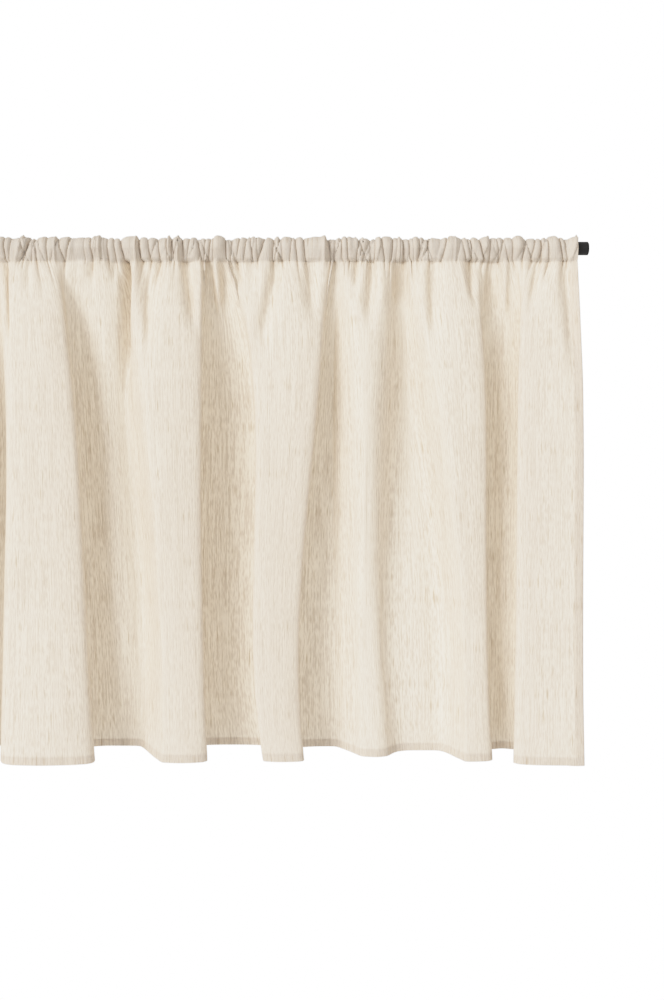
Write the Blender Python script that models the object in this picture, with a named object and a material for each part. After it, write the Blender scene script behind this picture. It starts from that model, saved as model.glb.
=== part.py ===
"""Cafe curtain gathered on a round rod: one unlined panel with a rod pocket, a tube and two plugs.

Metres, +Z up. The origin is on the rod's axis at mid-length. +X runs along the rod to the right
and -Y is the side that faces the room.
"""
import math
from collections import namedtuple

import bmesh
import bpy
import numpy as np

# Rod and plugs
ROD_LENGTH = 1.060
ROD_DIAMETER = 0.016
ROD_WALL = 0.001
ROD_SIDES = 24
PLUG_HEAD = 0.002
PLUG_CHAMFER = 0.0008
PLUG_STEM = 0.012
FIT_GAP = 0.0003

# Cloth
CLOTH_THICKNESS = 0.0012
SEAM_DROP = 0.016
HEM_DROP = 0.589
HEM_HEIGHT = 0.010
SIDE_HEM = 0.009
HEM_LAYERS = 1.7              # a turned hem's thickness, in sheets
HEM_STEP = 0.0015
PANEL_FRONT = 0.0095          # how far in front of the rod's axis the panel hangs
COLUMN_SPACING = 0.0145
PANEL_DROPS = (0.030, 0.055, 0.090, 0.140, 0.210, 0.300, 0.400, 0.500)

# Rod pocket: a loop of cloth that lies on the rod, falls straight in front of it and closes at
# the seam below
POCKET_GAP = 0.0006
POCKET_SEGMENTS = 7
POCKET_LOW = math.radians(55)     # how far below level the loop leaves the rod behind
SEAM_SLIT = 0.0002
SEAM_TURN = 0.0010

# Gathers: small uneven ruffles on the pocket that die out below the seam
RUFFLE_PITCH = 0.026
RUFFLE_HEIGHT = 0.0030
RUFFLE_FADE = 0.045
RUFFLE_TWIST = 1.3            # how far they slide along from the pocket's front to its back
Sway = namedtuple("Sway", "size rate start")
RUFFLE_WANDER = (Sway(1.1, 32.0, 0.6), Sway(0.7, 51.0, 0.0))
RUFFLE_SWELL = Sway(0.28, 89.0, 1.9)

# Main folds, one row each from left to right. Each flank gives the place along X of the fold's
# side at the four stations; front and back give how far the fold comes forward and how far the
# valley on its right goes back. Lean is the flank's run along X for each metre of depth: 0 is
# square to the rod, above 0 opens the fold out and below 0 tucks the flank under it.
STATION_DROPS = (SEAM_DROP, 0.120, 0.330, HEM_DROP)
Fold = namedtuple("Fold", "left right front back lean_left lean_right")
FOLDS = (
    Fold((-0.545, -0.544, -0.546, -0.548), (-0.434, -0.437, -0.430, -0.426),
         (0.004, 0.025, 0.032, 0.037), (0.003, 0.021, 0.027, 0.028), 0.0, -0.3),
    Fold((-0.397, -0.392, -0.388, -0.384), (-0.330, -0.326, -0.322, -0.318),
         (0.003, 0.024, 0.029, 0.030), (0.003, 0.026, 0.034, 0.036), 0.1, -0.3),
    Fold((-0.287, -0.280, -0.276, -0.270), (-0.206, -0.190, -0.186, -0.190),
         (0.004, 0.022, 0.027, 0.029), (0.003, 0.022, 0.029, 0.032), 0.2, -0.3),
    Fold((-0.162, -0.151, -0.147, -0.154), (-0.0845, -0.0760, -0.0620, -0.047),
         (0.004, 0.027, 0.035, 0.039), (0.003, 0.018, 0.025, 0.033), 0.2, -0.5),
    Fold((-0.002, -0.002, 0.014, 0.021), (0.084, 0.078, 0.075, 0.081),
         (0.004, 0.024, 0.029, 0.031), (0.003, 0.022, 0.032, 0.036), 0.5, -0.5),
    Fold((0.106, 0.134, 0.142, 0.152), (0.232, 0.217, 0.194, 0.191),
         (0.003, 0.021, 0.026, 0.027), (0.003, 0.014, 0.024, 0.028), -0.1, -0.45),
    Fold((0.243, 0.244, 0.252, 0.258), (0.301, 0.298, 0.290, 0.299),
         (0.003, 0.018, 0.015, 0.009), (0.003, 0.018, 0.017, 0.014), 0.8, 0.6),
    Fold((0.320, 0.330, 0.357, 0.366), (0.400, 0.405, 0.4065, 0.411),
         (0.004, 0.020, 0.024, 0.026), (0.003, 0.016, 0.016, 0.018), 0.6, -0.3),
    Fold((0.446, 0.452, 0.453, 0.452), (0.542, 0.542, 0.542, 0.541),
         (0.004, 0.026, 0.034, 0.039), (0.0, 0.0, 0.0, 0.0), -0.8, 0.0),
)
BOXINESS = 1.7                # how flat a steep fold's front is: a plain sine at nought
SHALLOW = 0.12                # the square of the steepness that counts as half steep
SIDE_CUT = 0.62               # the outer folds end here along their wave, just past the crest
SIDE_EDGE = 0.515             # and their edges hang this far from the middle of the rod
FINE_STEPS = 50               # for measuring a wave's length

LINEN = (0.78, 0.71, 0.60)
BLACK_METAL = (0.018, 0.018, 0.020)
BLACK_PLASTIC = (0.022, 0.022, 0.024)


def clear_scene():
    """Removes every object of the start-up scene."""
    for item in list(bpy.data.objects):
        bpy.data.objects.remove(item, do_unlink=True)


def plain_material(name, colour, roughness, metallic):
    """A Principled material of one colour."""
    material = bpy.data.materials.new(name)
    material.use_nodes = True
    shader = material.node_tree.nodes["Principled BSDF"]
    shader.inputs["Base Color"].default_value = (*colour, 1.0)
    shader.inputs["Roughness"].default_value = roughness
    shader.inputs["Metallic"].default_value = metallic
    return material


def add_object(name, shape, material):
    """Turns a closed bmesh, its faces set outwards, into a named object."""
    bmesh.ops.recalc_face_normals(shape, faces=shape.faces)
    mesh = bpy.data.meshes.new(name)
    shape.to_mesh(mesh)
    shape.free()
    mesh.materials.append(material)
    item = bpy.data.objects.new(name, mesh)
    bpy.context.scene.collection.objects.link(item)
    return item


def at_drop(values, drop):
    """The cubic through a fold's values at the four stations, read at one drop below the rod."""
    total = 0.0
    for index, value in enumerate(values):
        weight = 1.0
        for other, station in enumerate(STATION_DROPS):
            if other != index:
                weight *= (drop - station) / (STATION_DROPS[index] - station)
        total += value * weight
    return total


def half_wave(start, end, depth, leans, share):
    """One fold or valley seen from above, between two flanks at mid-depth.

    The depth follows the hyperbolic tangent of half a sine, which flattens the middle. The run
    follows a straight line less one whole sine, scaled so that the curve passes each flank at
    that flank's own lean. Shallow waves keep to a plain sine.
    """
    ease = share * share * (3.0 - 2.0 * share)
    lean = leans[0] + (leans[1] - leans[0]) * ease
    steep = (math.pi * depth / (end - start)) ** 2
    steep = steep / (steep + SHALLOW)
    box = 0.01 + BOXINESS * steep
    climb = math.pi * abs(depth) * box / math.tanh(box)
    bulge = steep * ((end - start) - lean * climb)
    run = start + (end - start) * share - bulge * np.sin(2.0 * math.pi * share) / (2.0 * math.pi)
    return run, depth * np.tanh(box * np.sin(math.pi * share)) / math.tanh(box)


def waves_at(drop):
    """Every fold and valley from left to right at one drop: start, end, depth and leans."""
    waves = []
    for fold, following in zip(FOLDS, FOLDS[1:] + (None,)):
        left, right = at_drop(fold.left, drop), at_drop(fold.right, drop)
        waves.append((left, right, -at_drop(fold.front, drop), (fold.lean_left, fold.lean_right)))
        if following:
            waves.append((right, at_drop(following.left, drop), at_drop(fold.back, drop),
                          (fold.lean_right, following.lean_left)))
    return waves


def column_shares():
    """Where the columns stand along each wave, so that they follow the folds down.

    The outer waves are cut off past their crests, and have a pair of columns at the side hem.
    """
    waves = waves_at(HEM_DROP)
    shares = []
    for start, end, depth, leans in waves:
        run, forth = half_wave(start, end, depth, leans, np.linspace(0.0, 1.0, FINE_STEPS))
        steps = round(np.hypot(np.diff(run), np.diff(forth)).sum() / COLUMN_SPACING)
        shares.append(np.linspace(0.0, 1.0, steps + 1)[:-1])
    start, end = waves[-1][:2]
    hem = SIDE_HEM / (2.0 * (end - start))
    step = HEM_STEP / (2.0 * (end - start))
    edge = np.array((SIDE_CUT - hem - step, SIDE_CUT - hem, SIDE_CUT))
    inner = np.linspace(0.0, edge[0], round(len(shares[-1]) * SIDE_CUT))
    shares[-1] = np.concatenate((inner[:-1], edge))
    shares[0] = 1.0 - shares[-1][:0:-1]
    return shares


def plan_curve(drop, shares):
    """The cloth's line seen from above at one drop: X and Y of each column.

    The outer folds are stretched along X from their inner flanks until the edges hang straight.
    """
    waves = waves_at(drop)
    parts = [half_wave(*wave, share) for wave, share in zip(waves, shares)]
    runs = [run for run, _ in parts]
    for edge, inner, place in ((0, waves[0][1], -SIDE_EDGE), (-1, waves[-1][0], SIDE_EDGE)):
        reach = runs[edge] - inner
        runs[edge] = inner + reach * (place - inner) / reach[edge]
    return np.concatenate(runs), np.concatenate([depth for _, depth in parts]) - PANEL_FRONT


def gathers(x, turn):
    """Uneven ruffles from 0 to 1 along the pocket; turn slides them a little round the rod."""
    beat = 2.0 * math.pi * x / RUFFLE_PITCH + turn
    for sway in RUFFLE_WANDER:
        beat = beat + sway.size * np.sin(sway.rate * x + sway.start)
    swell = RUFFLE_SWELL.size * (1.0 - np.sin(RUFFLE_SWELL.rate * x + RUFFLE_SWELL.start))
    return (0.5 - 0.5 * np.cos(beat)) * (1.0 - swell)


def panel_row(drop, shares, ruffle, layers):
    """Front and back points of the hanging sheet at one drop, one for each column."""
    x, y = plan_curve(drop, shares)
    y = y - ruffle * math.exp((SEAM_DROP - drop) / RUFFLE_FADE)
    along = np.hypot(np.gradient(x), np.gradient(y))
    facing_x = np.gradient(y) / along
    facing_y = -np.gradient(x) / along
    half = CLOTH_THICKNESS / 2.0
    depth = half + (layers - 1.0) * CLOTH_THICKNESS
    z = np.full_like(x, -drop)
    front = np.stack((x + facing_x * half, y + facing_y * half, z), axis=1)
    back = np.stack((x - facing_x * depth, y - facing_y * depth, z), axis=1)
    return front, back


def pocket_loop(x, radius):
    """Points of one face of the pocket round the rod, from the front over the top to the back."""
    points = []
    for angle in np.linspace(math.pi, -POCKET_LOW, POCKET_SEGMENTS + 1):
        twist = RUFFLE_TWIST * (math.pi - angle) / math.pi
        reach = radius + RUFFLE_HEIGHT * gathers(x, twist)
        points.append(np.stack((x, reach * math.cos(angle), reach * math.sin(angle)), axis=1))
    return points


def build_curtain(material):
    """The whole cloth as one solid: hanging panel, rod pocket and hems."""
    shares = column_shares()
    x, y = plan_curve(SEAM_DROP, shares)
    ruffle = RUFFLE_HEIGHT * gathers(x, 0.0)
    single = np.ones(len(x))
    single[:2] = HEM_LAYERS
    single[-2:] = HEM_LAYERS
    turned_up = np.full(len(x), HEM_LAYERS)
    hem_top = HEM_DROP - HEM_HEIGHT
    rows = [panel_row(drop, shares, ruffle, single) for drop in PANEL_DROPS]
    rows.append(panel_row(hem_top - HEM_STEP, shares, ruffle, single))
    rows.append(panel_row(hem_top, shares, ruffle, turned_up))
    rows.append(panel_row(HEM_DROP, shares, ruffle, turned_up))

    y = y - ruffle
    level = np.full_like(x, -SEAM_DROP)
    seam = [np.stack((x, y + side * CLOTH_THICKNESS, level), axis=1) for side in (-1.0, 1.0)]
    slit = [np.stack((x, y + side * SEAM_SLIT, level + SEAM_TURN), axis=1) for side in (-1.0, 1.0)]
    half_segment = (math.pi + POCKET_LOW) / POCKET_SEGMENTS / 2.0
    inner_radius = (ROD_DIAMETER / 2.0 + POCKET_GAP) / math.cos(half_segment)
    outer = pocket_loop(x, inner_radius + CLOTH_THICKNESS)
    inner = [slit[0]] + pocket_loop(x, inner_radius) + [slit[1]]

    fronts = [front for front, _ in reversed(rows)]
    backs = [back for _, back in rows]
    outline = fronts + [seam[0]] + outer + [seam[1]] + backs
    shape = bmesh.new()
    columns = [[shape.verts.new(point) for point in ring]
               for ring in np.stack(outline + inner, axis=1)]
    count = len(outline)
    for here, there in zip(columns, columns[1:]):
        for loop in (slice(0, count), slice(count, None)):
            near, far = here[loop], there[loop]
            for index, corner in enumerate(near):
                shape.faces.new((near[index - 1], corner, far[index], far[index - 1]))
    for end in (columns[0], columns[-1]):
        sheet, hole = end[:count], end[count:]
        for index in range(len(rows)):
            shape.faces.new((sheet[index], sheet[index + 1], sheet[-2 - index], sheet[-1 - index]))
        band = sheet[len(rows):count - len(rows)]
        for index in range(len(band)):
            shape.faces.new((band[index - 1], band[index], hole[index], hole[index - 1]))
    add_object("curtain", shape, material)


def turned(name, profile, closed, material):
    """A round piece: a profile of (place along X, radius) points spun about the rod's axis."""
    shape = bmesh.new()
    points = [shape.verts.new((place, 0.0, radius)) for place, radius in profile]
    pairs = list(zip(points, points[1:]))
    if closed:
        pairs.append((points[-1], points[0]))
    edges = [shape.edges.new(pair) for pair in pairs]
    bmesh.ops.spin(shape, geom=points + edges, axis=(1, 0, 0), cent=(0, 0, 0),
                   steps=ROD_SIDES, angle=2.0 * math.pi, use_merge=True)
    bmesh.ops.remove_doubles(shape, verts=shape.verts, dist=1e-6)
    add_object(name, shape, material)


def build_rod(material):
    """The plain tube, which stops just short of the two plugs' heads."""
    reach = ROD_LENGTH / 2.0 - PLUG_HEAD - FIT_GAP
    radius = ROD_DIAMETER / 2.0
    bore = radius - ROD_WALL
    turned("rod", ((-reach, bore), (-reach, radius), (reach, radius), (reach, bore)), True, material)


def build_plug(name, side, material):
    """A plug with a stem inside the tube and a head as wide as the tube, its rim chamfered."""
    face = ROD_LENGTH / 2.0
    radius = ROD_DIAMETER / 2.0
    stem = radius - ROD_WALL - FIT_GAP
    shoulder = face - PLUG_HEAD
    profile = ((shoulder - PLUG_STEM, 0.0), (shoulder - PLUG_STEM, stem), (shoulder, stem),
               (shoulder, radius), (face - PLUG_CHAMFER, radius), (face, radius - PLUG_CHAMFER),
               (face, 0.0))
    turned(name, [(side * place, reach) for place, reach in profile], False, material)


clear_scene()
build_curtain(plain_material("linen", LINEN, 0.9, 0.0))
build_rod(plain_material("black_metal", BLACK_METAL, 0.45, 0.6))
plug_material = plain_material("black_plastic", BLACK_PLASTIC, 0.5, 0.0)
build_plug("end_plug_left", -1.0, plug_material)
build_plug("end_plug_right", 1.0, plug_material)
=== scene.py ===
"""Cafe curtain on a rod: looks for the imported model, in metres, +Z up, the room at -Y."""
import math
from collections import namedtuple

import bpy
import numpy as np
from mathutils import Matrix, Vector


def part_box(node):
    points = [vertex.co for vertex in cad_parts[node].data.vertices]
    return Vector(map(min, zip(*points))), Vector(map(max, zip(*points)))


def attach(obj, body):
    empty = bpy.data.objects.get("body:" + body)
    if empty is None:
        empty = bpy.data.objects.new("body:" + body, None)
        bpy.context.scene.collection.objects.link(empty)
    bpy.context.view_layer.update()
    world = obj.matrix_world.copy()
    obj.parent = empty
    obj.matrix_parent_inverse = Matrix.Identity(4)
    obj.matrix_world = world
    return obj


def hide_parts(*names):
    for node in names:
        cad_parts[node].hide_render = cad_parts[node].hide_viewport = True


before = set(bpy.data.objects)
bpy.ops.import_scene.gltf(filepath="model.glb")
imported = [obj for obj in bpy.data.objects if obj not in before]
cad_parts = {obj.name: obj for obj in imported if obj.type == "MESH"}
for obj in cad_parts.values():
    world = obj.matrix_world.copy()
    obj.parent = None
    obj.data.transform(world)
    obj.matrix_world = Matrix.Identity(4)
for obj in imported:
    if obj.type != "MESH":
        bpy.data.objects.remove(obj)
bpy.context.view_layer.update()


# ---------------------------------------------------------------- camera
# A level camera in front of the curtain's right-hand part, a little above its middle. The lens
# is shifted down so that the hem is in the picture and upright lines stay upright.
VIEW_DISTANCE = 1.300         # from the rod's axis
VIEW_LEVEL = -0.170           # the lens above or below the rod
PICTURE_HEIGHT = 1.170        # what the picture spans at the rod
PICTURE_MIDDLE = 0.2995       # from the rod's right end to the picture's middle
PICTURE_DROP = 0.2942         # from the rod down to the picture's middle
SENSOR = 0.036
NEAREST = 0.01                # the camera sees nothing closer

rod_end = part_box("end_plug_right")[1][0]
lens = bpy.data.cameras.new("camera")
lens.sensor_width = SENSOR * 1000.0
lens.lens = SENSOR * 1000.0 * VIEW_DISTANCE / PICTURE_HEIGHT
lens.shift_y = -(PICTURE_DROP + VIEW_LEVEL) / PICTURE_HEIGHT
lens.clip_start = NEAREST
camera = bpy.data.objects.new("camera", lens)
camera.location = (rod_end - PICTURE_MIDDLE, -VIEW_DISTANCE, VIEW_LEVEL)
camera.rotation_euler = (math.radians(90.0), 0.0, 0.0)
bpy.context.scene.collection.objects.link(camera)
bpy.context.scene.camera = camera

# The camera's response: brighter in the middle tones, with a soft shoulder below white.
RESPONSE = ((0.0, 0.0), (0.10, 0.145), (0.42, 0.610), (0.55, 0.745), (0.65, 0.815), (0.75, 0.860),
            (0.87, 0.920), (1.0, 1.0))
view = bpy.context.scene.view_settings
view.view_transform = "Standard"
view.use_curve_mapping = True
curve = view.curve_mapping.curves[3]          # the one for all three colours
for light, shown in RESPONSE[1:-1]:
    curve.points.new(light, shown)
view.curve_mapping.update()


# ---------------------------------------------------------------- studio
# White surroundings all round, one broad soft light from the front left, a very broad one from
# behind that shines through the cloth, and a white floor well below the hem.
WHITE = (1.0, 1.0, 1.0, 1.0)
SURROUND = 0.48               # how bright the surroundings light the part; the lens sees white
SURROUND_COLOUR = (1.0, 0.98, 0.95, 1.0)
Lamp = namedtuple("Lamp", "strength spread side height")
LAMPS = {                     # strength, then degrees across, from the front and above level
    "key": Lamp(1.46, 30.0, -41.0, 14.0),
    "backdrop": Lamp(1.00, 110.0, 180.0, 5.0),
}
FLOOR_LEVEL = -1.60
FLOOR_HALF = 3.0
FLOOR_BACK = 1.20
FLOOR_PAINT = ((0.79, 0.79, 0.79, 1.0), (0.81, 0.81, 0.81, 1.0))


class Wire:
    """A socket in shader maths: an operator on it adds a Math node to its material."""

    def __init__(self, tree, socket=None):
        self.tree = tree
        self.socket = socket

    def node(self, kind, settings, values, output=0):
        """Adds a node: settings first, then the value or the link of each named socket."""
        made = self.tree.nodes.new(kind)
        for name, setting in settings.items():
            setattr(made, name, setting)
        for name, value in values.items():
            if isinstance(value, Wire):
                self.tree.links.new(value.socket, made.inputs[name])
            else:
                made.inputs[name].default_value = value
        return Wire(self.tree, made.outputs[output])

    def maths(self, operation, first, second):
        """A Math node with two values."""
        return self.node("ShaderNodeMath", {"operation": operation}, {0: first, 1: second})

    def __add__(self, other):
        return self.maths("ADD", self, other)

    __radd__ = __add__

    def __sub__(self, other):
        return self.maths("SUBTRACT", self, other)

    def __rsub__(self, other):
        return self.maths("SUBTRACT", other, self)

    def __mul__(self, other):
        return self.maths("MULTIPLY", self, other)

    __rmul__ = __mul__

    def blend(self, first, second):
        """A colour between two, by this share."""
        return self.node("ShaderNodeMix", {"data_type": "RGBA"}, {0: self, 6: first, 7: second}, 2)

    def noise(self, place, scale, detail=2.0):
        """Smooth noise around 0.5 at a place."""
        values = {"Vector": place, "Scale": scale, "Detail": detail}
        return self.node("ShaderNodeTexNoise", {}, values)

    def scaled(self, factors):
        """A vector times one factor for each axis."""
        return self.node("ShaderNodeVectorMath", {"operation": "MULTIPLY"}, {0: self, 1: factors})

    def spread(self, least, most):
        """This value from nought at the least to one at the most."""
        return self.node("ShaderNodeMapRange", {}, {0: self, 1: least, 2: most, 3: 0.0, 4: 1.0})


def new_material(name):
    """An empty node material and a wire to build it from."""
    material = bpy.data.materials.new(name)
    material.use_nodes = True
    material.node_tree.nodes.clear()
    return material, Wire(material.node_tree)


def finish_material(tree, shader):
    """Joins a shader to the material's output."""
    output = tree.tree.nodes.new("ShaderNodeOutputMaterial")
    tree.tree.links.new(shader.socket, output.inputs["Surface"])


world = bpy.data.worlds.new("surround")
world.use_nodes = True
glow = world.node_tree.nodes["Background"]
bpy.context.scene.world = world
paths = Wire(world.node_tree)
seen = paths.node("ShaderNodeLightPath", {}, {}, 0)
strength = seen * (1.0 - SURROUND) + SURROUND
world.node_tree.links.new(strength.socket, glow.inputs["Strength"])
colour = seen.blend(SURROUND_COLOUR, WHITE)
world.node_tree.links.new(colour.socket, glow.inputs["Color"])

for name, lamp in LAMPS.items():
    light = bpy.data.lights.new(name, "SUN")
    light.energy = lamp.strength
    light.angle = math.radians(lamp.spread)
    light_object = bpy.data.objects.new(name, light)
    tilt, side = math.radians(90.0 - lamp.height), math.radians(lamp.side)
    light_object.rotation_euler = (tilt, 0.0, side)
    bpy.context.scene.collection.objects.link(light_object)

floor_corners = [(side * FLOOR_HALF, back, FLOOR_LEVEL) for side, back in
                 ((-1, -FLOOR_HALF), (1, -FLOOR_HALF), (1, FLOOR_BACK), (-1, FLOOR_BACK))]
floor_mesh = bpy.data.meshes.new("floor")
floor_mesh.from_pydata(floor_corners, [], [(0, 1, 2, 3)])
floor = bpy.data.objects.new("floor", floor_mesh)
bpy.context.scene.collection.objects.link(floor)
floor_material, tree = new_material("floor_white")
grain = tree.noise(tree.node("ShaderNodeTexCoord", {}, {}, 3), 3.0)
paint = grain.blend(*FLOOR_PAINT)
matt = tree.node("ShaderNodeBsdfPrincipled", {}, {"Base Color": paint, "Roughness": 0.9})
finish_material(tree, matt)
floor_mesh.materials.append(floor_material)


# ---------------------------------------------------------------- rod
# A plain steel tube, 16 mm across, powder coated matt black. It carries the curtain and ends in
# two plugs.
rod_material, tree = new_material("black_powder_coat")
place = tree.node("ShaderNodeTexCoord", {}, {}, 3)
orange_peel = tree.noise(place, 900.0)
patches = tree.noise(place, 60.0, 3.0)
coat = patches.blend((0.0085, 0.0080, 0.0088, 1.0), (0.0125, 0.0118, 0.0125, 1.0))
dents = tree.node("ShaderNodeBump", {}, {"Strength": 0.25, "Distance": 0.0002,
                  "Height": orange_peel})
black = tree.node("ShaderNodeBsdfPrincipled", {}, {
    "Base Color": coat, "Roughness": 0.42 + 0.16 * patches, "Specular IOR Level": 0.35,
    "Normal": dents})
finish_material(tree, black)
rod = bpy.data.objects["rod"]
rod.material_slots[0].material = rod_material


# ---------------------------------------------------------------- end plugs
# Two small moulded plugs pressed into the tube's ends, black, with a chamfered rim.
plug_material, tree = new_material("black_moulded_plastic")
place = tree.node("ShaderNodeTexCoord", {}, {}, 3)
speckle = tree.noise(place, 1400.0)
tint = speckle.blend((0.010, 0.010, 0.011, 1.0), (0.016, 0.016, 0.017, 1.0))
sparks = tree.node("ShaderNodeBump", {}, {"Strength": 0.2, "Distance": 0.0001, "Height": speckle})
black = tree.node("ShaderNodeBsdfPrincipled", {}, {
    "Base Color": tint, "Roughness": 0.5 + 0.1 * speckle, "Specular IOR Level": 0.4,
    "Normal": sparks})
finish_material(tree, black)
for side in ("left", "right"):
    bpy.data.objects["end_plug_" + side].material_slots[0].material = plug_material


# ---------------------------------------------------------------- curtain
# One width of unlined, semi-sheer linen-look cloth with slubs along its height. The top is turned
# to the back and stitched down as the rod pocket, the sides and the foot are turned in and
# stitched, and the pocket is pushed together on the rod, which throws the cloth into folds.
SEAM_DROP = 0.016             # from the rod's axis to the pocket's stitching
HEM_DROP = -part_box("curtain")[0][2]
HEM_HEIGHT = 0.0095
SIDE_HEM = 0.0090
LAYER_GAP = 0.0006            # between the layers of a hem
SEAM_GAP = 3.0 * LAYER_GAP    # and between the pocket's back and the panel at the stitching
TURN_IN = 0.001               # how far the raw edge inside the bottom hem turns down
FLAT_WIDTH = 1.66             # of the panel between the folds of its side hems
COLUMNS = 2001                # of the heading, an odd number: the panel has every other one
LOOP_ROWS = 12
FRONT_ROWS = 6                # of the pocket's front, below the rod's axis
FINE_ROWS = 4                 # of the panel that keep all columns
UPPER_ROWS = 18               # in the first part of the panel, where the gathers run out
UPPER_DROP = 0.115
LOWER_ROWS = 15
FOOT_ROWS = (0.60, 0.25, 0.06)    # within the bottom hem, in parts of its height
ROW_CROWDING = 1.5            # how much the upper rows crowd towards the stitching
WAVE_POINTS = 500             # of each fold while the columns are spaced
PANEL_FRONT = 0.0095          # how far in front of the rod's axis the panel hangs

# Main folds, one row each from left to right. Each flank gives the place along X of the fold's
# side at the four stations; front and back give how far the fold comes forward and how far the
# valley on its right goes back. Lean is the flank's run along X for each metre of depth: 0 is
# square to the rod, above 0 opens the fold out and below 0 tucks the flank under it.
STATION_DROPS = (SEAM_DROP, 0.120, 0.330, HEM_DROP)
Fold = namedtuple("Fold", "left right front back lean_left lean_right")
FOLDS = (
    Fold((-0.545, -0.544, -0.546, -0.548), (-0.434, -0.437, -0.430, -0.426),
         (0.004, 0.025, 0.032, 0.037), (0.003, 0.021, 0.027, 0.028), 0.0, -0.3),
    Fold((-0.397, -0.392, -0.388, -0.384), (-0.330, -0.326, -0.322, -0.318),
         (0.003, 0.024, 0.029, 0.030), (0.003, 0.026, 0.034, 0.036), 0.1, -0.3),
    Fold((-0.287, -0.280, -0.276, -0.270), (-0.206, -0.190, -0.186, -0.190),
         (0.004, 0.022, 0.027, 0.029), (0.003, 0.022, 0.029, 0.032), 0.2, -0.3),
    Fold((-0.162, -0.151, -0.147, -0.154), (-0.0845, -0.0760, -0.0620, -0.047),
         (0.004, 0.027, 0.035, 0.039), (0.003, 0.018, 0.025, 0.033), 0.2, -0.5),
    Fold((-0.002, -0.002, 0.014, 0.021), (0.084, 0.078, 0.075, 0.081),
         (0.004, 0.024, 0.029, 0.031), (0.003, 0.022, 0.032, 0.036), 0.5, -0.5),
    Fold((0.106, 0.134, 0.142, 0.152), (0.232, 0.217, 0.194, 0.191),
         (0.003, 0.021, 0.026, 0.027), (0.003, 0.014, 0.024, 0.028), -0.1, -0.45),
    Fold((0.243, 0.244, 0.252, 0.258), (0.301, 0.298, 0.290, 0.299),
         (0.003, 0.018, 0.015, 0.009), (0.003, 0.018, 0.017, 0.014), 0.8, 0.6),
    Fold((0.320, 0.330, 0.357, 0.366), (0.400, 0.405, 0.4065, 0.411),
         (0.004, 0.020, 0.024, 0.026), (0.003, 0.016, 0.016, 0.018), 0.6, -0.3),
    Fold((0.446, 0.452, 0.453, 0.452), (0.542, 0.542, 0.542, 0.541),
         (0.004, 0.026, 0.034, 0.039), (0.0, 0.0, 0.0, 0.0), -0.8, 0.0),
)
BOXINESS = 1.7                # how flat a steep fold's front is: a plain sine at nought
SHALLOW = 0.12                # the square of the steepness that counts as half steep
SIDE_CUT = 0.62               # where on the outermost folds the side edges are
SIDE_EDGE = 0.515             # and how far from the middle of the rod they hang
LEAST_BOX = 0.01              # keeps a shallow wave a plain sine without dividing by nought
SEAM_WEIGHT = 0.6             # of the way along the stitching in the columns' spacing,
LOW_LEVEL = 0.7               # and the part of the drop where the rest of the weight is taken
GATHER_WEIGHT = 1.5           # how much the gathers' depth counts along the stitching

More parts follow.
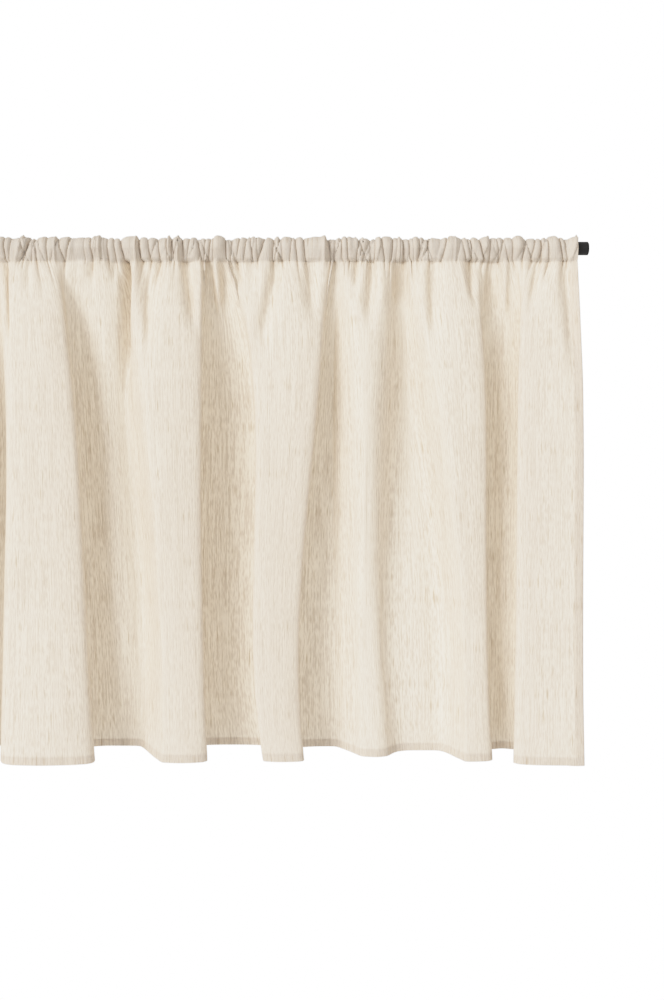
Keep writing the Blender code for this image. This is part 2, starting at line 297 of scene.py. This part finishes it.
# Creases of the gathered heading. Depth is in parts of a whole gather and negative for a ridge;
# slant is the way along the rod from the pocket's top to its stitching, flare how much wider the
# crease is at the stitching, reach how far it runs on below.
Crease = namedtuple("Crease", "place depth width slant flare reach")
CREASES = (
    Crease(-0.1497, 0.9, 0.0015, 0.002, 0.2, 0.060),
    Crease(-0.1427, 0.7, 0.0014, -0.003, 0.2, 0.030),
    Crease(-0.1135, 0.9, 0.0017, 0.002, 0.3, 0.050),
    Crease(-0.1006, 0.6, 0.0014, 0.001, 0.2, 0.030),
    Crease(-0.0912, -0.3, 0.0026, 0.000, 0.0, 0.005),
    Crease(-0.0850, 0.6, 0.0018, 0.008, 0.3, 0.050),
    Crease(-0.0755, 0.6, 0.0018, -0.008, 0.3, 0.090),
    Crease(-0.0491, 0.8, 0.0018, 0.002, 0.2, 0.040),
    Crease(-0.0398, -0.3, 0.0026, 0.000, 0.0, 0.005),
    Crease(-0.0304, 0.9, 0.0016, 0.001, 0.2, 0.012),
    Crease(-0.0222, 0.9, 0.0014, 0.003, 0.2, 0.040),
    Crease(-0.0140, 1.3, 0.0018, 0.006, 0.9, 0.090),
    Crease(0.0025, -0.3, 0.0026, 0.000, 0.0, 0.005),
    Crease(0.0065, 1.5, 0.0017, 0.003, 0.4, 0.050),
    Crease(0.0176, 0.8, 0.0015, 0.004, 0.2, 0.050),
    Crease(0.0293, 0.9, 0.0016, 0.003, 0.2, 0.040),
    Crease(0.0386, 0.5, 0.0014, 0.002, 0.2, 0.020),
    Crease(0.0457, 0.9, 0.0014, 0.003, 0.1, 0.040),
    Crease(0.0515, -0.3, 0.0026, 0.000, 0.0, 0.005),
    Crease(0.0568, 1.2, 0.0016, 0.002, 1.8, 0.040),
    Crease(0.0640, 0.7, 0.0014, -0.005, 0.2, 0.020),
    Crease(0.0760, 0.9, 0.0015, 0.006, 0.3, 0.050),
    Crease(0.0830, 0.9, 0.0014, -0.003, 0.2, 0.050),
    Crease(0.0889, 1.1, 0.0016, -0.004, 0.6, 0.100),
    Crease(0.1065, 1.5, 0.0015, 0.001, 0.2, 0.060),
    Crease(0.1150, 0.9, 0.0014, 0.007, 0.4, 0.040),
    Crease(0.1220, 0.9, 0.0014, -0.006, 0.4, 0.040),
    Crease(0.1369, 0.5, 0.0018, 0.003, 0.2, 0.040),
    Crease(0.1498, 0.6, 0.0018, -0.010, 0.2, 0.070),
    Crease(0.1627, 0.6, 0.0018, -0.002, 0.2, 0.040),
    Crease(0.1670, -0.3, 0.0026, 0.000, 0.0, 0.005),
    Crease(0.1720, 0.5, 0.0016, 0.002, 0.2, 0.030),
    Crease(0.1884, 0.7, 0.0018, 0.003, 0.2, 0.060),
    Crease(0.1978, 0.9, 0.0018, 0.003, 0.2, 0.040),
    Crease(0.2215, -0.3, 0.0026, 0.000, 0.0, 0.005),
    Crease(0.2265, 1.3, 0.0017, 0.005, 0.3, 0.040),
    Crease(0.2345, 0.9, 0.0014, -0.002, 0.3, 0.080),
    Crease(0.2415, 1.1, 0.0014, 0.001, 0.2, 0.060),
    Crease(0.2480, 0.8, 0.0014, 0.002, 0.2, 0.040),
    Crease(0.2609, 0.9, 0.0015, -0.003, 0.2, 0.050),
    Crease(0.2750, 1.2, 0.0016, 0.001, 1.2, 0.050),
    Crease(0.2810, 0.7, 0.0013, -0.001, 0.1, 0.030),
    Crease(0.2890, 0.8, 0.0015, 0.005, 0.3, 0.040),
    Crease(0.3010, 1.2, 0.0016, -0.002, 0.4, 0.100),
    Crease(0.3124, 0.9, 0.0014, 0.002, 0.2, 0.040),
    Crease(0.3200, 1.2, 0.0015, 0.002, 0.3, 0.050),
    Crease(0.3320, 0.9, 0.0016, -0.001, 0.4, 0.040),
    Crease(0.3417, 0.8, 0.0015, 0.002, 0.2, 0.060),
    Crease(0.3620, 0.9, 0.0016, -0.009, 0.2, 0.040),
    Crease(0.3830, 0.8, 0.0015, 0.006, 0.2, 0.050),
    Crease(0.3920, 1.2, 0.0015, 0.002, 0.3, 0.070),
    Crease(0.4035, 0.8, 0.0016, 0.008, 0.3, 0.070),
    Crease(0.4140, 1.2, 0.0015, 0.000, 0.3, 0.060),
    Crease(0.4230, 0.6, 0.0014, 0.004, 0.2, 0.040),
    Crease(0.4399, 0.8, 0.0017, 0.001, 0.2, 0.025),
    Crease(0.4545, 0.8, 0.0015, -0.005, 0.2, 0.040),
    Crease(0.4650, 0.9, 0.0015, -0.007, 0.2, 0.040),
    Crease(0.4739, 1.2, 0.0015, -0.001, 0.3, 0.060),
    Crease(0.4810, 0.8, 0.0014, 0.002, 0.2, 0.040),
    Crease(0.4955, 1.1, 0.0015, 0.006, 0.3, 0.050),
    Crease(0.5015, 0.7, 0.0014, 0.005, 0.3, 0.040),
)
SPARE_SPACING = 0.0108        # between creases to the left of the listed ones
SPARE_VARIES = (0.6, 1.6)     # the least and most of it that lies between two
SPARE_END = 0.006             # how far short of the left edge they stop
SPARE_RANGE = (               # least and most depth, width, slant, flare and reach
    (0.5, 0.0014, -0.006, 0.1, 0.03),
    (1.4, 0.0018, 0.006, 0.6, 0.09))
CRUMPLES = 150                # small slanting creases anywhere along the heading
CRUMPLE_RANGE = (
    (-0.30, 0.0009, -0.015, 0.0, 0.004),
    (0.80, 0.0015, 0.015, 0.8, 0.012))
CREASE_CORE = 0.36            # of a crease's width: where its cusp has fallen to about half
CREASE_SPREAD = 0.009         # the drop below the stitching that adds one more width
CREASE_UNEVEN = 0.35          # how much gentler the side towards its slant is
CREASE_TIP = 0.3              # how blunt the cusp is
CREASE_SKIRT = 0.10           # the share of its depth that is in the wide skirt
SKIRT_FALL = 0.02             # how fast the skirt runs out
CREASE_FADE = 0.6             # the part of its reach where a crease has faded to a third
CREASE_LIMIT = 1.5            # how soon creases that meet stop adding up
GATHER_FRONT = 0.0078         # how far a gather stands off the rod in front, above and behind,
GATHER_TOP = 0.0030
GATHER_BACK = 0.0032
GATHER_SEAM = 0.0062          # how deep it is along the stitching and in the panel below,
GATHER_PANEL = 0.0040
GATHER_RUNOUT = 0.007         # and the drop over which the one turns into the other
GATHER_ROUND = 0.8            # how quickly a gather thins towards the pocket's top
STITCH = 0.0005               # how deep the stitching draws the cloth in
STITCH_HEIGHT = 0.001         # and how far above and below the seam that shows
SAG_RUNOUT = 0.012            # the drop over which the seam's unevenness runs out
SLOW_START = 0.05             # and the one over which the panel's own begins
Ripples = namedtuple("Ripples", "count shortest longest height")
SEAM_RIPPLES = Ripples(8, 0.015, 0.090, 0.0009)
PANEL_RIPPLES = Ripples(16, 0.028, 0.170, 0.0010)
GATHER_RIPPLES = Ripples(12, 0.008, 0.050, 0.50)   # of a gather's depth, as a share of it
RIPPLE_TURN = 0.35            # the most they turn from the cloth's width, in radians
OVERHANG = 0.00040            # how far a gather leans over its crease, for a slope of one
OVERHANG_SLOPE = 2.5          # the steepest slope that counts
ROD_GAP = 0.0006
POCKET_LOW = math.radians(55.0)   # the pocket's back leaves the rod this far below level
HEM_BENDS = (45.0, 90.0, 135.0)   # degrees round the turned edge of a hem
SIDE_HEM_PLACES = (0.08, 0.4, 0.7, 1.0)   # columns of a side hem, in parts of its width
BEHIND = (0.15, 0.5, 0.85, 1.0, 1.0, 1.0, 1.0)   # how far behind the front they lie, in gaps
DOWN = (0.0, 0.0, -1.0)

# Soft troughs of the hanging panel, from a top to a foot in X and drop. A negative depth is a
# ridge.
Dent = namedtuple("Dent", "top_x foot_x top_drop foot_drop width depth")
DENTS = (
    Dent(-0.478, -0.472, 0.020, 0.120, 0.006, 0.005),
    Dent(-0.418, -0.412, 0.015, 0.100, 0.005, 0.005),
    Dent(-0.362, -0.366, 0.015, 0.080, 0.004, 0.005),
    Dent(-0.310, -0.304, 0.020, 0.130, 0.010, -0.007),
    Dent(-0.256, -0.262, 0.015, 0.090, 0.005, 0.005),
    Dent(-0.226, -0.229, 0.015, 0.110, 0.004, 0.006),
    Dent(-0.186, -0.182, 0.020, 0.110, 0.006, 0.005),
    Dent(-0.152, -0.143, 0.008, 0.110, 0.005, 0.010),
    Dent(-0.122, -0.120, 0.008, 0.050, 0.004, 0.003),
    Dent(-0.128, -0.126, 0.380, 0.520, 0.020, 0.004),
    Dent(-0.048, -0.051, 0.006, 0.042, 0.005, 0.004),
    Dent(-0.041, -0.012, 0.000, 0.560, 0.022, -0.011),
    Dent(-0.023, -0.024, 0.006, 0.036, 0.004, 0.006),
    Dent(-0.010, -0.011, 0.006, 0.145, 0.0050, 0.024),
    Dent(0.001, -0.001, 0.012, 0.110, 0.0040, -0.004),
    Dent(0.013, 0.017, 0.008, 0.120, 0.0095, 0.011),
    Dent(0.030, 0.026, 0.006, 0.055, 0.0065, 0.0085),
    Dent(0.061, 0.075, 0.008, 0.090, 0.0095, 0.012),
    Dent(0.077, 0.079, 0.015, 0.085, 0.005, -0.007),
    Dent(0.088, 0.095, 0.010, 0.080, 0.0050, 0.0055),
    Dent(0.094, 0.098, 0.010, 0.070, 0.0035, -0.006),
    Dent(0.104, 0.105, 0.008, 0.080, 0.0050, 0.0070),
    Dent(0.120, 0.120, 0.006, 0.045, 0.0065, 0.0070),
    Dent(0.135, 0.135, 0.006, 0.045, 0.0065, 0.0050),
    Dent(0.170, 0.150, 0.006, 0.105, 0.0080, 0.0100),
    Dent(0.206, 0.209, 0.008, 0.080, 0.0080, 0.0085),
    Dent(0.255, 0.258, 0.006, 0.042, 0.0065, 0.0080),
    Dent(0.278, 0.273, 0.006, 0.085, 0.0080, 0.0100),
    Dent(0.311, 0.310, 0.006, 0.060, 0.0055, 0.0110),
    Dent(0.343, 0.357, 0.200, 0.600, 0.010, 0.004),
    Dent(0.349, 0.345, 0.006, 0.100, 0.0080, 0.0105),
    Dent(0.392, 0.395, 0.006, 0.060, 0.0065, 0.0100),
    Dent(0.402, 0.403, 0.006, 0.032, 0.0050, 0.0050),
    Dent(0.404, 0.404, 0.025, 0.080, 0.005, -0.005),
    Dent(0.419, 0.419, 0.006, 0.080, 0.0070, 0.0090),
    Dent(0.432, 0.432, 0.010, 0.075, 0.004, -0.006),
    Dent(0.430, 0.431, 0.060, 0.640, 0.009, 0.004),
    Dent(0.468, 0.461, 0.006, 0.065, 0.0065, 0.0060),
    Dent(0.481, 0.481, 0.006, 0.036, 0.0065, 0.0050),
    Dent(0.502, 0.506, 0.006, 0.125, 0.0080, 0.0090),
)


def at_drop(values, drop):
    """The cubic through a fold's values at the four stations, read at drops below the rod."""
    total = 0.0
    for index, value in enumerate(values):
        weight = 1.0
        for other, station in enumerate(STATION_DROPS):
            if other != index:
                weight = weight * (drop - station) / (STATION_DROPS[index] - station)
        total = total + value * weight
    return total


def half_wave(start, end, depth, leans, share):
    """One fold or valley seen from above: the depth follows the hyperbolic tangent of half a sine,
    which flattens the middle, the run a straight line less one whole sine, so that the curve
    passes each flank at that flank's own lean. Shallow waves keep to a plain sine."""
    ease = share * share * (3.0 - 2.0 * share)
    lean = leans[0] + (leans[1] - leans[0]) * ease
    steep = (math.pi * depth / (end - start)) ** 2
    steep = steep / (steep + SHALLOW)
    box = LEAST_BOX + BOXINESS * steep
    climb = math.pi * np.abs(depth) * box / np.tanh(box)
    bulge = steep * ((end - start) - lean * climb)
    run = start + (end - start) * share - bulge * np.sin(2.0 * math.pi * share) / (2.0 * math.pi)
    return run, depth * np.tanh(box * np.sin(math.pi * share)) / np.tanh(box)


def waves_at(drop):
    """Every fold and valley from left to right: start, end, depth and leans."""
    waves = []
    for fold, following in zip(FOLDS, FOLDS[1:] + (None,)):
        left, right = at_drop(fold.left, drop), at_drop(fold.right, drop)
        waves.append((left, right, -at_drop(fold.front, drop), (fold.lean_left, fold.lean_right)))
        if following:
            waves.append((right, at_drop(following.left, drop), at_drop(fold.back, drop),
                          (fold.lean_right, following.lean_left)))
    return waves


def plan(drop, number, share):
    """The main folds seen from above: X and Y for rows of drops by columns on their waves."""
    x = np.zeros((len(drop), len(number)))
    y = np.zeros_like(x)
    for index, wave in enumerate(waves_at(drop)):
        on = number == index
        x[:, on], y[:, on] = half_wave(*wave, share[None, on])
    for index, edge, side in ((number[0], 0, -SIDE_EDGE), (number[-1], -1, SIDE_EDGE)):
        on = number == index
        root = at_drop(FOLDS[edge].right if edge == 0 else FOLDS[edge].left, drop)
        x[:, on] = root + (x[:, on] - root) * (side - root) / (x[:, edge, None] - root)
    return x, y - PANEL_FRONT


def creasing(seam_x, slide, low, below):
    """How deep the creases are, in whole gathers: the sum of a cusp with a low skirt for each
    crease, limited by a hyperbolic tangent.

    Slide from -1 to 1 moves a crease along its slant, low from 0 to 1 widens it by its flare, and
    below the stitching it widens with the drop and fades over its reach. The side that a crease
    slants towards is gentler than the other.
    """
    total = 0.0
    for crease in creases:
        width = CREASE_CORE * crease.width * (1.0 + crease.flare * low + below / CREASE_SPREAD)
        offset = (seam_x - crease.place - 0.5 * crease.slant * slide) / width
        offset = offset * (1.0 - CREASE_UNEVEN * np.sign(offset * crease.slant))
        fade = np.exp(-(below / crease.reach / CREASE_FADE) ** 1.5)
        cusp = np.exp(CREASE_TIP - np.sqrt(offset * offset + CREASE_TIP * CREASE_TIP))
        skirt = np.exp(-SKIRT_FALL * offset * offset)
        shape = (1.0 - CREASE_SKIRT) * cusp + CREASE_SKIRT * skirt
        total = total + crease.depth * fade * shape
    return np.tanh(CREASE_LIMIT * total)


def overhang(sunk, step):
    """How far the sides of every crease lean over it, in proportion to their slope."""
    slope = np.gradient(sunk, axis=1) / step
    return OVERHANG * np.clip(slope, -OVERHANG_SLOPE, OVERHANG_SLOPE)


def dented(x, drop):
    """The soft troughs: a bell across times a bell along the middle of each one's length."""
    total = 0.0
    for dent in DENTS:
        along = (drop - dent.top_drop) / (dent.foot_drop - dent.top_drop)
        middle = dent.top_x + (dent.foot_x - dent.top_x) * along
        ends = np.exp(-np.abs(2.0 * along - 1.0) ** 4.0)
        total = total + dent.depth * ends * np.exp(-((x - middle) / dent.width) ** 2)
    return total


def ripples(across, down, kind):
    """Slow unevenness: a sum of sines of random direction, length and phase, shorter ones lower."""
    total = 0.0
    for _ in range(kind.count):
        length = kind.shortest * (kind.longest / kind.shortest) ** random.random()
        turn = random.uniform(-RIPPLE_TURN, RIPPLE_TURN)
        phase = random.uniform(0.0, 2.0 * math.pi)
        along = across * math.cos(turn) + down * math.sin(turn)
        total = total + (length / kind.longest) * np.sin(2.0 * math.pi * along / length + phase)
    return kind.height * total / math.sqrt(kind.count)


def rows_between(first, last, count):
    """Rows of points from one row straight to another, both left out."""
    part = np.linspace(0.0, 1.0, count + 2)[1:-1, None, None]
    return first + (last - first) * part


def turned_rows(points, normals, outward, picks, gap):
    """Rows to add after a grid's last row to turn its edge to the back: half a circle out of the
    edge, as wide as the gap, then the picked rows again, the gap further back."""
    bend = np.radians(HEM_BENDS)[:, None, None]
    gap = np.broadcast_to(gap, points.shape[1])[:, None]
    edge = points[-1] + outward * np.sin(bend) * gap * 0.5
    edge = edge - normals[-1] * (1.0 - np.cos(bend)) * gap * 0.5
    bend_normals = np.repeat(normals[-1:], 3, axis=0)
    back = points[picks] - normals[picks] * gap
    return np.concatenate((edge, back)), np.concatenate((bend_normals, normals[picks]))


rod_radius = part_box("rod")[1][2]
random = np.random.default_rng(7)
spare = []
spot = CREASES[0].place - SPARE_SPACING
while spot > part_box("curtain")[0][0] + SPARE_END:
    spare.append(Crease(spot, *random.uniform(*SPARE_RANGE)))
    spot -= SPARE_SPACING * random.uniform(*SPARE_VARIES)
for place in random.uniform(-SIDE_EDGE, SIDE_EDGE, CRUMPLES):
    spare.append(Crease(place, *random.uniform(*CRUMPLE_RANGE)))
creases = tuple(spare) + CREASES

# Columns: evenly spaced along the cloth's width, as the mean of its way along the stitching with
# all gathers and its way along the lower panel
parts = np.linspace(0.0, 1.0, WAVE_POINTS)
ends = np.array([(0.0, 1.0)] * (2 * len(FOLDS) - 1))
ends[0, 0], ends[-1, 1] = 1.0 - SIDE_CUT, SIDE_CUT
number = np.repeat(np.arange(len(ends)), WAVE_POINTS)
share = (ends[:, :1] + (ends[:, 1:] - ends[:, :1]) * parts).ravel()
seam_x, _ = (line[0] for line in plan(np.array([[SEAM_DROP]]), number, share))
low_x, low_y = (line[0] for line in plan(np.array([[LOW_LEVEL * HEM_DROP]]), number, share))
way = 0.0
creased = GATHER_WEIGHT * GATHER_FRONT * creasing(seam_x, 0.0, 0.5, 0.0)
for across, inward, weight in ((seam_x, creased, SEAM_WEIGHT), (low_x, low_y, 1.0 - SEAM_WEIGHT)):
    steps = np.hypot(np.diff(across, prepend=across[0]), np.diff(inward, prepend=inward[0]))
    way = way + weight * np.cumsum(steps) / steps.sum()
even = np.interp(np.linspace(0.0, 1.0, COLUMNS), way, np.arange(len(way)))
at = np.round(even).astype(int)
number, share, flat_x = number[at], share[at], way[at] * FLAT_WIDTH

# Hanging panel, its front face
upper = SEAM_DROP + (UPPER_DROP - SEAM_DROP) * np.linspace(0.0, 1.0, UPPER_ROWS) ** ROW_CROWDING
lower = np.linspace(UPPER_DROP, HEM_DROP - HEM_HEIGHT, LOWER_ROWS + 1)[1:]
foot = HEM_DROP - HEM_HEIGHT * np.array(FOOT_ROWS)
drops = np.concatenate((upper, lower, foot))[:, None]
plan_x, plan_y = plan(drops, number, share)
step_x, step_y = np.gradient(plan_x, axis=1), np.gradient(plan_y, axis=1)
step = np.hypot(step_x, step_y)
seam_x = plan_x[0]
below = drops - SEAM_DROP
gather = GATHER_PANEL + (GATHER_SEAM - GATHER_PANEL) * np.exp(-below / GATHER_RUNOUT)
sunk = gather * creasing(seam_x, 1.0, 1.0, below) + dented(plan_x, drops)
sunk = sunk + STITCH * np.exp(-(below / STITCH_HEIGHT) ** 2)
sunk = sunk * np.clip(step_x / step, 0.0, 1.0)
slow = ripples(flat_x, drops, PANEL_RIPPLES)
sag = ripples(seam_x, 0.0, SEAM_RIPPLES)
sunk = sunk + slow * (1.0 - np.exp(-below / SLOW_START))
lean = overhang(sunk, step) / step
panel_x = plan_x - step_y / step * sunk + step_x * lean
panel_y = plan_y + step_x / step * sunk + step_y * lean
panel_z = sag * np.exp(-below / SAG_RUNOUT) - drops
panel = np.stack(np.broadcast_arrays(panel_x, panel_y, panel_z), axis=-1)

# Rod pocket: from its back end at the stitching up, over the rod and straight down in front
turn = np.linspace(-POCKET_LOW, math.pi, LOOP_ROWS)[:, None]
fall = np.linspace(0.0, 1.0, FRONT_ROWS + 1)[1:-1, None]
front_way = 0.5 * math.pi * rod_radius + SEAM_DROP
slide = 2.0 * rod_radius * np.abs(turn - 0.5 * math.pi) / front_way - 1.0
stand_off = GATHER_TOP + np.where(turn > 0.5 * math.pi, GATHER_FRONT - GATHER_TOP,
                                  GATHER_BACK - GATHER_TOP) * np.abs(np.cos(turn)) ** GATHER_ROUND
uneven = 1.0 + ripples(seam_x, 0.0, GATHER_RIPPLES)
lift = stand_off * (1.0 - creasing(seam_x, slide, 0.5 + 0.5 * slide, 0.0)) * uneven
reach = rod_radius + ROD_GAP + lift
loop_x = seam_x + overhang(-lift, np.gradient(seam_x))
loop = np.stack((loop_x, reach * np.cos(turn), reach * np.sin(turn)), axis=-1)
slide = 1.0 - 2.0 * SEAM_DROP * (1.0 - fall) / front_way
ridge = -(rod_radius + ROD_GAP + GATHER_FRONT * uneven) * (1.0 - fall) + plan_y[0] * fall
depth = GATHER_FRONT * uneven * (1.0 - fall) + GATHER_SEAM * fall
sunk = depth * creasing(seam_x, slide, 0.5 + 0.5 * slide, 0.0)
front_x = seam_x + overhang(sunk, np.gradient(seam_x))
front = np.stack((front_x, ridge + sunk, (sag - SEAM_DROP) * fall), axis=-1)
back_end = panel[0] + (0.0, SEAM_GAP, 0.0)
pocket = np.concatenate((back_end[None], rows_between(back_end, loop[0], 2), loop, front))
clear = np.linalg.norm(pocket[..., 1:], axis=-1, keepdims=True) / (rod_radius + ROD_GAP)
pocket[..., 1:] /= np.minimum(clear, 1.0)
base = np.concatenate((pocket, panel))
normals = np.cross(np.gradient(base, axis=0), np.gradient(base, axis=1))
normals /= np.linalg.norm(normals, axis=2, keepdims=True)

# Side hems: both side edges turned to the back
sheet, faces = base.swapaxes(0, 1), normals.swapaxes(0, 1)
behind = np.zeros(len(sheet))
for _ in range(2):
    sheet, faces, flat_x, behind = sheet[::-1], faces[::-1], flat_x[::-1], behind[::-1]
    from_edge = np.abs(flat_x - flat_x[-1])
    picks = [int(np.argmin(np.abs(from_edge - place * SIDE_HEM))) for place in SIDE_HEM_PLACES]
    out = sheet[-1] - sheet[-3]
    out /= np.linalg.norm(out, axis=1, keepdims=True)
    more, more_faces = turned_rows(sheet, faces, out, picks, LAYER_GAP)
    outwards = np.sign(flat_x[-1] - flat_x[-2])
    more_flat = flat_x[-1] + outwards * np.concatenate((np.zeros(3), from_edge[picks]))
    sheet, faces = np.concatenate((sheet, more)), np.concatenate((faces, more_faces))
    flat_x = np.concatenate((flat_x, more_flat))
    behind = np.concatenate((behind, LAYER_GAP * np.array(BEHIND)))
sheet, faces = sheet.swapaxes(0, 1), faces.swapaxes(0, 1)

# Bottom hem, over the side hems, and the turned-in edge inside the pocket's back
from_side = np.minimum(flat_x, FLAT_WIDTH - flat_x)
corner = np.clip(2.0 - from_side / SIDE_HEM, 0.0, 1.0)
hem_gap = LAYER_GAP * (1.0 + 2.0 * corner) - 2.0 * behind
hem, _ = turned_rows(sheet, faces, DOWN, [-1, -2, -3, -4], hem_gap)
raw_edge = hem[-1] + faces[-4] * 0.5 * hem_gap[:, None] + (0.0, 0.0, -TURN_IN)
allowance, _ = turned_rows(sheet[:5][::-1], faces[:5][::-1], DOWN, [-2, -3], LAYER_GAP)
sheet = np.concatenate((allowance[::-1], sheet, hem, raw_edge[None]))

# Where each point lies on the flat cloth, in metres across and down
steps = np.linalg.norm(np.diff(sheet, axis=0), axis=2).mean(axis=1)
flat_z = np.concatenate(((0.0,), np.cumsum(steps)))
flat = np.stack(np.broadcast_arrays(flat_x, flat_z[:, None]), axis=-1)

# One grid of all columns for the heading and one of every other column below, joined by
# triangles
split = len(allowance) + len(pocket) + FINE_ROWS
rows, columns = sheet.shape[:2]
heading = (split, columns)
hanging = (rows - split, (columns + 1) // 2)
ids = np.arange(heading[0] * heading[1] + hanging[0] * hanging[1])
fine = ids[:heading[0] * heading[1]].reshape(heading)
coarse = ids[heading[0] * heading[1]:].reshape(hanging)
quads = np.concatenate([np.stack((grid[:-1, :-1], grid[1:, :-1], grid[1:, 1:], grid[:-1, 1:]),
                                 axis=-1).reshape(-1, 4) for grid in (fine, coarse)])
last, first = fine[-1], coarse[0]
fans = np.concatenate([np.stack(corner, axis=-1) for corner in (
    (last[:-1:2], first[:-1], last[1::2]), (last[1::2], first[:-1], first[1:]),
    (last[1::2], first[1:], last[2::2]))])
corners = np.concatenate((quads.ravel(), fans.ravel())).astype(np.int32)
starts = np.concatenate((np.arange(0, quads.size, 4), quads.size + np.arange(0, fans.size, 3)))
points, flat = (np.concatenate((part[:split].reshape(-1, part.shape[2]),
                                part[split:, ::2].reshape(-1, part.shape[2])))
                for part in (sheet, flat))
cloth = bpy.data.meshes.new("curtain_cloth")
cloth.vertices.add(len(points))
cloth.vertices.foreach_set("co", points.astype(np.float32).ravel())
cloth.loops.add(len(corners))
cloth.loops.foreach_set("vertex_index", corners)
cloth.polygons.add(len(starts))
cloth.polygons.foreach_set("loop_start", starts.astype(np.int32))
cloth.update(calc_edges=True)
cloth.shade_smooth()
layer = cloth.uv_layers.new(name="flat")
layer.uv.foreach_set("vector", flat[corners].astype(np.float32).ravel())
curtain = bpy.data.objects.new("curtain_cloth", cloth)
bpy.context.scene.collection.objects.link(curtain)

# Woven cloth: fine yarns along the height, thicker slubs among them. Thick yarns hold back the
# light from behind. The scales are noise cells in a metre, across and down the flat cloth.
YARN_SCALE = (1350.0, 110.0, 0.0)
BAND_SCALE = (1050.0, 14.0, 0.0)
SLUB_SCALE = (1000.0, 40.0, 7.0)
THIN_YARN, THICK_YARN = (0.87, 0.80, 0.72, 1.0), (0.68, 0.60, 0.515, 1.0)
SLUB_YARN = (0.52, 0.43, 0.33, 1.0)
LIT_THROUGH = (0.80, 0.69, 0.52, 1.0)
THICK_RANGE, SLUB_RANGE = (0.425, 0.575), (0.66, 0.86)    # of the noise that makes them
SHEERNESS = 0.34              # of the thinnest cloth, then what thick yarns and slubs take off
THICK_LOSS, SLUB_LOSS = 0.21, 0.08
linen, tree = new_material("slub_linen")
uv = tree.node("ShaderNodeUVMap", {"uv_map": "flat"}, {})
yarns = tree.noise(uv.scaled(YARN_SCALE), 1.0, 1.0)
bands = tree.noise(uv.scaled(BAND_SCALE), 1.0, 1.0)
slubs = tree.noise(uv.scaled(SLUB_SCALE), 1.0, 0.0)
thick = (yarns * 0.5 + bands * 0.5).spread(*THICK_RANGE)
slub = slubs.spread(*SLUB_RANGE)
yarn = slub.blend(thick.blend(THIN_YARN, THICK_YARN), SLUB_YARN)
weave = tree.node("ShaderNodeBump", {}, {"Strength": 0.3, "Distance": 0.0003, "Height": yarns})
face = tree.node("ShaderNodeBsdfPrincipled", {}, {
    "Base Color": yarn, "Roughness": 0.9, "Specular IOR Level": 0.15, "Normal": weave})
through = tree.node("ShaderNodeBsdfTranslucent", {}, {"Color": LIT_THROUGH})
sheer = SHEERNESS - THICK_LOSS * thick - SLUB_LOSS * slub
mixed = tree.node("ShaderNodeMixShader", {}, {0: sheer, 1: face, 2: through})
finish_material(tree, mixed)
cloth.materials.append(linen)

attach(curtain, "root")
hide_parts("curtain")
